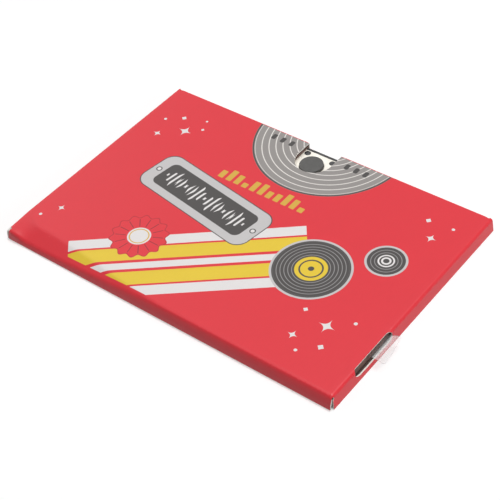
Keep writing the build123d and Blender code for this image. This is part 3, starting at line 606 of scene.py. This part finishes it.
    # Confetti
    bits = [
        draw.spark(flat, -43.0, 24.0, 2.6),
        draw.spark(flat, -50.0, 18.5, 1.7),
        draw.diamond(flat, -47.5, 29.0, 0.9),
        draw.diamond(flat, -38.5, 27.5, 0.6),
        draw.disc(flat, -52.5, 25.5, 0.5),
        draw.disc(flat, -40.0, 31.5, 0.4),
        draw.spark(flat, 44.0, -20.0, 2.8),
        draw.spark(flat, 38.0, -27.5, 1.8),
        draw.diamond(flat, 47.0, -27.0, 1.0),
        draw.diamond(flat, 35.5, -18.0, 0.8),
        draw.disc(flat, 50.0, -15.0, 0.55),
        draw.disc(flat, 42.0, -31.5, 0.5),
        draw.spark(flat, 49.0, 24.0, 1.9),
        draw.diamond(flat, 44.5, 30.0, 0.9),
        draw.disc(flat, 52.5, 30.5, 0.5),
        draw.disc(flat, -55.0, -30.0, 0.5),
        draw.spark(flat, -51.5, -24.5, 1.6),
    ]
    shown = bits[0]
    for bit in bits[1:]:
        shown = draw.math("MAXIMUM", shown, bit)
    art = draw.mix(shown, art, white)
    art = draw.mix(top, red, art)

    # Ink mottle, and cracked ink with a paler line where the board is creased
    fibres = use_group(draw, FIBRES, Scale=0.5, Strength=0.05)
    tint = draw.node("ShaderNodeMix", data_type="RGBA", blend_type="MULTIPLY")
    tint.inputs[0].default_value = 1.0
    draw.put(tint.inputs[6], art)
    draw.put(tint.inputs[7], fibres["Shade"])
    pull = draw.noise(draw.vector("MULTIPLY", place, (0.35, 0.35, 3.0)), 2.6, 4, 0.7)
    across_edge = draw.math("ABSOLUTE", draw.math("SUBTRACT", z, HEIGHT - 0.3))
    crest = draw.math("MULTIPLY", draw.below(across_edge, 0.12, 0.1), draw.ramp(pull, 0.62, 0.74))
    worn = draw.mix(draw.math("MULTIPLY", crest, 0.5), tint.outputs[2], ink(232, 170, 168))
    draw.put(inputs["Base Color"], worn)
    draw.put(inputs["Roughness"], draw.ramp(fibres["Height"], 0.3, 0.7, 0.34, 0.44))
    draw.put(inputs["Normal"], bump(draw, fibres["Height"], 0.12, 0.00003))
    inputs["Specular IOR Level"].default_value = 0.5
    return material


def middle_of(node):
    """The X and Y of a node's middle, in millimetres."""
    low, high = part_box(node)
    return (low[0] + high[0]) / 2 * 1000, (low[1] + high[1]) / 2 * 1000


def make_liner_board():
    """White-faced board with a grey-brown back, and rings about the record button and microphone."""
    material, draw, tint = paper("Inner liner", ink(236, 233, 227), 0.05, 0.62)
    place = draw.millimetres()
    x, y, z = draw.parts(place)
    flat = draw.join(x, y)
    ring = draw.ring(flat, *middle_of("record_button"), 5.2, 0.7)
    art = draw.mix(ring, ink(236, 233, 227), ink(206, 40, 48))
    art = draw.mix(draw.ring(flat, *middle_of("microphone_can"), 2.4, 0.4), art, ink(96, 92, 90))
    low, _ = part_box("inner_liner")
    grey_back = draw.ramp(z, low[2] * 1000 + 0.05, low[2] * 1000 + 0.1)
    draw.put(tint.inputs[6], draw.mix(grey_back, art, ink(104, 84, 76)))
    return material


def make_inside_page():
    """Uncoated cream paper with faint ruled lines to write on, edged with a brown band that is painted shade
    for the gaps beside the walls.
    """
    material, draw, tint = paper("Writing page", ink(244, 240, 231), 0.05, 0.68)
    x, y, _ = draw.parts(draw.millimetres())
    rule = draw.below(draw.math("PINGPONG", y, 3.5), 0.1)
    field = draw.bar(draw.join(x, y), 0.0, 0.0, 96.0, 58.0)
    lines = draw.math("MULTIPLY", draw.math("MULTIPLY", rule, field), 0.55)
    page_art = draw.mix(lines, ink(244, 240, 231), ink(176, 160, 156))
    # Painted shade: outside this mask the page is brown, standing in for the shadow seen down the gaps beside
    # the walls.
    inside_shade_border = draw.bar(draw.join(x, y), 0.0, 0.0, 115.0, 75.5, 1.5)
    draw.put(tint.inputs[6], draw.mix(inside_shade_border, ink(98, 76, 70), page_art))
    return material


def make_clear_film(name, least, tone, outside):
    """Film that light goes straight through, with a sheen set by position: held low inside the card as
    painted shade, and a milky band just outside the wall as painted sheen.
    """
    material = bpy.data.materials.new(name)
    material.use_nodes = True
    draw = Sketch(material.node_tree)
    material.node_tree.nodes.remove(material.node_tree.nodes["Principled BSDF"])
    place = draw.node("ShaderNodeTexCoord").outputs["Object"]
    scuffs = draw.noise(draw.vector("MULTIPLY", place, (1.0, 6.0, 1.0)), 700, 4, 0.7)
    wavy = bump(draw, draw.noise(place, 120, 2, 0.5), 0.08, 0.0001)
    clear = draw.node("ShaderNodeBsdfTransparent")
    clear.inputs["Color"].default_value = (0.97, 0.97, 0.97, 1.0)
    skin = draw.node("ShaderNodeBsdfPrincipled")
    sheen = skin.inputs
    sheen["Base Color"].default_value = (tone, tone, tone, 1.0)
    draw.put(sheen["Roughness"], draw.ramp(scuffs, 0.4, 0.8, 0.08, 0.22))
    draw.put(sheen["Normal"], wavy)
    facing = draw.node("ShaderNodeFresnel")
    facing.inputs["IOR"].default_value = 1.45
    across, _, _ = draw.parts(place)
    # Painted light: the sheen is held low inside the card, as painted shade, and a milky white band is laid
    # just outside the wall, as painted sheen.
    inner, outer = draw.ramp(across, 0.0596, 0.0602), draw.ramp(across, 0.0622, 0.0612)
    painted_sheen_band = draw.math("MULTIPLY", draw.math("MULTIPLY", inner, outer), outside)
    gloss = draw.math("MULTIPLY", facing.outputs[0], draw.ramp(across, 0.0592, 0.0602, 0.15, 0.7))
    amount = draw.math("ADD", gloss, least)
    amount = draw.math("ADD", amount, painted_sheen_band, clamp=True)
    blend = draw.node("ShaderNodeMixShader")
    draw.put(blend.inputs[0], amount)
    draw.put(blend.inputs[1], clear.outputs[0])
    draw.put(blend.inputs[2], skin.outputs[0])
    draw.put(material.node_tree.nodes["Material Output"].inputs["Surface"], blend.outputs[0])
    return material


PRINT = make_printed_board()
RAW = paper("Board back", ink(214, 208, 200), 0.07, 0.75)[0]
CORE = paper("Cut board", ink(244, 240, 234), 0.05, 0.8, 2.0)[0]
PAGE = make_inside_page()
LINER = make_liner_board()
GREYBOARD = paper("Greyboard", ink(124, 100, 92), 0.3, 0.85)[0]
# The clear film's outside amount is the strength of its painted sheen band just outside the wall.
FILM = make_clear_film("Clear film", least=0.0, tone=0.9, outside=0.22)
# Painted shade: the film's cut edges are painted grey and mostly opaque, standing in for the dark line a
# clear film's edge shows.
FILM_EDGE = make_clear_film("Film edge", least=0.75, tone=0.3, outside=0.0)
CONE_FILM = make_clear_film("Speaker cone film", least=0.3, tone=0.6, outside=0.0)
BLACK = plastic("Black plastic", ink(38, 38, 38), 0.45)
BUTTON = plastic("Button plastic", ink(78, 77, 75), 0.5, 0.02)
RED_CAP = plastic("Red plastic", ink(196, 32, 36), 0.4)
WHITE_CAP = plastic("White plastic", ink(226, 224, 218), 0.4)
YELLOW_COAT = plastic("Yellow sleeve", ink(224, 190, 40), 0.45)
TINPLATE = metal("Tinplate", (0.9, 0.86, 0.78, 1.0), 0.42, 0.75)
STEEL = metal("Steel", (0.62, 0.62, 0.61, 1.0), 0.35)
NICKEL = metal("Nickel", (0.74, 0.73, 0.7, 1.0), 0.22)
SOLDER = metal("Solder", (0.7, 0.7, 0.7, 1.0), 0.28)
MAGNET = metal("Magnet", (0.22, 0.22, 0.23, 1.0), 0.45)
COPPER = metal("Copper wire", (0.72, 0.36, 0.2, 1.0), 0.32, 1.0, 0.4)
BOARD_RESIN = plastic("Circuit board", ink(168, 132, 78), 0.4)
CHIP_RESIN = plastic("Chip resin", ink(20, 20, 20), 0.2)
SILICON = metal("Silicon", (0.2, 0.2, 0.24, 1.0), 0.2)
CERAMIC = plastic("Ceramic chip", ink(172, 140, 104), 0.35)
TAPE = paper("Double-sided tape", ink(228, 226, 214), 0.06, 0.7, 0.6)[0]
FELT = paper("Felt", ink(42, 41, 40), 0.5, 0.95, 0.5)[0]


# The printed board: cover, folds, spine and page
def make_slot(centre_u, centre_v, length, width, blunt):
    """A long slot, round at its far end and blunter at the inner side of its near end."""
    r = width / 2
    top = arc_points(centre_u, centre_v + length / 2 - r, r, 0, 180, 21)
    foot = arc_points(centre_u, 0.0, r, 180, 360, 21)
    near = centre_v - length / 2
    foot = [(x, near + (r + y) * (blunt if x < centre_u else 2 * blunt)) for x, y in foot]
    return dense_path(top + foot, 0.5)


def make_cover():
    left, right = NOTCH_X - NOTCH_WIDTH / 2, NOTCH_X + NOTCH_WIDTH / 2
    round_y = DEPTH / 2 - NOTCH_DEPTH + NOTCH_WIDTH / 2
    slit = SIDE_FOLD_X - 0.15
    flap_end = DEPTH / 2 - 0.06
    curve = arc_points(NOTCH_X, round_y, NOTCH_WIDTH / 2, 0, -180, 41)
    left_slit = arc_points(SPINE_LEFT - SLIT, SEAM, SLIT, 180, 0, 15)
    right_slit = arc_points(SPINE_RIGHT + SLIT, SEAM, SLIT, 180, 0, 15)
    outline = [(-SIDE_END, LEFT_FLAP), (SPINE_LEFT - 2 * SLIT, LEFT_FLAP), *left_slit, *right_slit]
    outline += [(SIDE_END, RIGHT_FLAP), (SIDE_END, flap_end)]
    outline += [(SIDE_FOLD_X + 0.001, flap_end), (SIDE_FOLD_X + 0.001, BACK_FOLD_Y), (slit, BACK_FOLD_Y)]
    outline += [(slit, BACK_END), (right, BACK_END), *curve, (left, BACK_END), (-slit, BACK_END)]
    outline += [(-slit, BACK_FOLD_Y), (-SIDE_FOLD_X - 0.001, BACK_FOLD_Y)]
    outline += [(-SIDE_FOLD_X - 0.001, flap_end), (-SIDE_END, flap_end)]
    arc = list(np.linspace(SIDE_FOLD_X, SIDE_FOLD_X + FOLD * SIDE_TURN, 12))
    wall = stations(arc[-1] + 0.4, SIDE_END - 0.4, 0.8)
    us = [-u for u in reversed(arc + wall)]
    us += stations(-SIDE_FOLD_X + 1.5, SIDE_FOLD_X - 1.5, 1.6) + arc + wall
    bend = stations(SEAM - 0.3, LEFT_FLAP + 0.3, 0.5) + stations(SEAM + 0.2, -37.6, 0.2)
    bend += stations(-37.0, BEND_START, 0.6)
    back = list(np.linspace(BACK_FOLD_Y, BACK_FOLD_Y + BACK_FOLD * math.pi / 2, 9))
    vs = bend + stations(BEND_START + 1.2, BACK_FOLD_Y - 1.0, 1.6)
    vs += back + stations(back[-1] + 0.5, BACK_END - 0.5, 0.9)
    slot = make_slot(centre_u=60.39, centre_v=-20.5, length=17.4, width=3.2, blunt=0.8)
    path = dense_path(outline, 0.8)
    return board_piece("front_cover", path, us, vs, [slot], materials=(PRINT, RAW, CORE))


def spine_end(v):
    """Where the spine's left end lies: it slants out towards its foot."""
    return SPINE_LEFT + (SPINE_LEFT_FOOT - SPINE_LEFT) * min(1, (SEAM - v) / (SEAM - WALL_FOOT))


def spine_strip(name, high, low, ends, step, levels, materials):
    """A strip of the blank along the spine, between two levels, with its left and right ends."""
    (high_left, high_right), (low_left, low_right) = ends
    outline = [(low_left, low), (low_right, low), (high_right, high), (high_left, high)]
    us = stations(max(high_left, low_left) + 0.6, min(high_right, low_right) - 0.6, step)
    path = dense_path(outline, min(step, 0.8))
    return board_piece(name, path, us, levels, fold=fold_spine, materials=materials)


def make_upper_fold():
    ends = ((SPINE_LEFT, SPINE_RIGHT), (spine_end(CREASE_END), SPINE_RIGHT))
    levels = stations(CREASE_END + 0.2, SEAM - 0.2, 0.25)
    return spine_strip("upper_crease", SEAM, CREASE_END, ends, 1.0, levels, (PRINT, RAW, CORE))


def make_spine():
    high, low = CREASE_END, WALL_FOOT + 0.25
    ends = ((spine_end(high), SPINE_RIGHT), (spine_end(low), SPINE_RIGHT))
    levels = stations(low + 0.2, high - 0.2, 0.3)
    return spine_strip("spine_panel", high, low, ends, 1.0, levels, (PRINT, RAW, CORE))


def make_lower_fold():
    high, low = WALL_FOOT + 0.25, PAGE_START - 0.3
    ends = ((spine_end(high), SPINE_RIGHT), (-PAGE_HALF, PAGE_HALF))
    levels = list(np.linspace(PAGE_START, WALL_FOOT, 9))
    return spine_strip("lower_crease", high, low, ends, 1.0, levels, (PRINT, PAGE, CORE))


def make_page():
    high, low = PAGE_START - 0.3, PAGE_START - (PAGE_BACK - PAGE_FOLD_Y)
    ends = ((-PAGE_HALF, PAGE_HALF), (-PAGE_HALF, PAGE_HALF))
    levels = stations(low + 0.9, high - 0.9, 1.8)
    return spine_strip("back_panel", high, low, ends, 1.8, levels, (PRINT, PAGE, CORE))


cover = make_cover()
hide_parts("front_case")
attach(cover, "case")
spine = make_spine()
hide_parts("spine_wall")
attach(spine, "spine")
page = make_page()
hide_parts("back_page")
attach(page, "page")
upper = make_upper_fold()
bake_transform(upper)
lower = make_lower_fold()
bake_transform(lower)


# The clear pull tab, a little bowed where it leaves the slot
TAB_WIDTH = 9.4
TAB_ROOT = 44.0
WALL_X = 60.0
TAB_BEND = 59.9
TAB_CORNER = 0.75
TAB_SKEW = 1.95
TAB_DROOP = 0.05


def make_pull_tab():
    low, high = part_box("pull_tab")
    near, level, thick = low[1] * 1000, low[2] * 1000, (high[2] - low[2]) * 1000
    far = near + TAB_WIDTH
    tip = high[0] * 1000
    outline = [(TAB_ROOT, near), *arc_points(tip - TAB_CORNER, near + TAB_CORNER, TAB_CORNER, -90, 0, 9)]
    outline += [(tip - 0.35, (near + far) / 2), *arc_points(tip - TAB_SKEW, far + 0.6, 0.5, 10, 100, 7)]
    outline += [(WALL_X, far), (TAB_ROOT, far)]
    us = stations(TAB_ROOT + 1.0, tip - 0.8, 0.6)
    vs = stations(near + 0.5, far - 0.3, 0.6)

    def bow(u, v, depth):
        out = np.maximum(u - TAB_BEND, 0)
        arch = out * np.sin((v - near) / (far - near) * math.pi)
        return np.stack([u, v, level + thick - depth + TAB_DROOP * (arch - out ** 1.6)], axis=-1)

    path = dense_path(outline, 0.5)
    finishes = (FILM, FILM, FILM_EDGE)
    return board_piece("pull_tab_film", path, us, vs, fold=bow, thickness=thick, materials=finishes)


tab = make_pull_tab()
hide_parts("pull_tab")
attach(tab, "tab")


# Finishes of the CAD nodes that stay
FINISHES = {
    "inner_liner": LINER,
    "spacer_block": GREYBOARD,
    "play_switch_base": BLACK,
    "play_switch_plate": TINPLATE,
    "play_switch_dome": NICKEL,
    "play_button": BUTTON,
    "play_switch_legs": SOLDER,
    "play_switch_tape": TAPE,
    "sound_board": BOARD_RESIN,
    "sound_board_tape": TAPE,
    "sound_chip": SILICON,
    "chip_blob": CHIP_RESIN,
    "capacitors": CERAMIC,
    "resistors": CERAMIC,
    "solder_joints": SOLDER,
    "record_switch_base": BLACK,
    "record_switch_plate": STEEL,
    "record_switch_dome": NICKEL,
    "record_button": RED_CAP,
    "record_switch_legs": SOLDER,
    "lock_switch_base": BLACK,
    "lock_switch_case": STEEL,
    "lock_knob": WHITE_CAP,
    "lock_switch_legs": SOLDER,
    "microphone_can": NICKEL,
    "microphone_felt": FELT,
    "microphone_pins": SOLDER,
    "speaker_frame": BLACK,
    "speaker_cone": CONE_FILM,
    "speaker_coil": COPPER,
    "speaker_yoke": STEEL,
    "speaker_magnet": MAGNET,
    "speaker_pole_plate": STEEL,
    "speaker_terminal_board": BOARD_RESIN,
    "speaker_tape": TAPE,
    "battery_holder": BLACK,
    "battery_cells": NICKEL,
    "battery_lower_contacts": STEEL,
    "battery_upper_contacts": STEEL,
    "battery_tape": TAPE,
    "speaker_lead_black": BLACK,
    "speaker_lead_red": RED_CAP,
    "switch_lead_white": WHITE_CAP,
    "switch_lead_yellow": YELLOW_COAT,
    "battery_lead_black": BLACK,
    "battery_lead_red": RED_CAP,
}
for node, material in FINISHES.items():
    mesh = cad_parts[node].data
    mesh.materials.clear()
    mesh.materials.append(material)


# Floor, light and camera
def seen_directly(draw):
    """1 for what the camera sees, straight or in gloss and clear film, and 0 for what lights the card."""
    path = draw.node("ShaderNodeLightPath").outputs
    seen = draw.math("MAXIMUM", path["Is Camera Ray"], path["Is Glossy Ray"])
    return draw.math("MAXIMUM", seen, path["Is Transmission Ray"])


def make_floor():
    """A pale floor that keeps the card's shadow and shows white further off."""
    mesh = bpy.data.meshes.new("studio_floor")
    reach = 3.0
    corners = [(-reach, -reach, 0), (reach, -reach, 0), (reach, reach, 0), (-reach, reach, 0)]
    mesh.from_pydata(corners, [], [(0, 1, 2, 3)])
    floor = bpy.data.objects.new("studio_floor", mesh)
    floor.location.z = -0.00002
    bpy.context.collection.objects.link(floor)
    material = bpy.data.materials.new("Studio floor")
    material.use_nodes = True
    draw = Sketch(material.node_tree)
    shader = material.node_tree.nodes["Principled BSDF"].inputs
    shader["Base Color"].default_value = (0.6, 0.6, 0.6, 1.0)
    shader["Roughness"].default_value = 0.9
    shader["Specular IOR Level"].default_value = 0.0
    seen = seen_directly(draw)
    shader["Emission Color"].default_value = (1.0, 1.0, 1.0, 1.0)
    far = draw.vector("LENGTH", draw.node("ShaderNodeTexCoord").outputs["Object"])
    near_card, far_off = 0.3, 1.0
    glow = draw.ramp(far, near_card, far_off, 0.5, 1.0)
    draw.put(shader["Emission Strength"], draw.math("MULTIPLY", seen, glow))
    mesh.materials.append(material)


def make_light():
    world = bpy.data.worlds.new("Studio")
    world.use_nodes = True
    bpy.context.scene.world = world
    draw = Sketch(world.node_tree)
    back = world.node_tree.nodes["Background"].inputs
    back["Color"].default_value = (1.0, 1.0, 1.0, 1.0)
    seen = seen_directly(draw)
    draw.put(back["Strength"], draw.ramp(seen, 0.0, 1.0, 0.15, 1.0))
    for name, place, size, power in (
        ("key", (0.08, 0.21, 1.17), 0.5, 9.4),
        ("left", (-0.8, 0.25, 0.75), 0.7, 1.2),
        ("fill", (0.9, 0.12, 0.2), 0.5, 2.6),
    ):
        lamp = bpy.data.lights.new(name, "AREA")
        lamp.size = size
        lamp.energy = power
        holder = bpy.data.objects.new(name, lamp)
        holder.location = place
        holder.visible_glossy = name != "fill"
        holder.rotation_euler = (-Vector(place)).to_track_quat("-Z", "Y").to_euler()
        bpy.context.collection.objects.link(holder)


def make_camera():
    """The photograph's view: right, up and back axes worked out from the card's corners."""
    lens = bpy.data.cameras.new("camera")
    lens.lens = 94.525
    lens.sensor_width = 36.0
    lens.clip_start = 0.01
    camera = bpy.data.objects.new("camera", lens)
    camera.location = (0.193259, -0.208541, 0.265133)
    back = Vector((0.49020275, -0.53165603, 0.69068309))
    up = Vector((-0.37696262, 0.58516063, 0.71797369))
    right = up.cross(back).normalized()
    up = back.cross(right).normalized()
    turn = Matrix((right, up, back)).transposed().to_4x4()
    camera.matrix_world = Matrix.Translation(camera.location) @ turn
    bpy.context.collection.objects.link(camera)
    bpy.context.scene.camera = camera


make_floor()
make_light()
make_camera()
bpy.context.scene.view_settings.view_transform = "Standard"
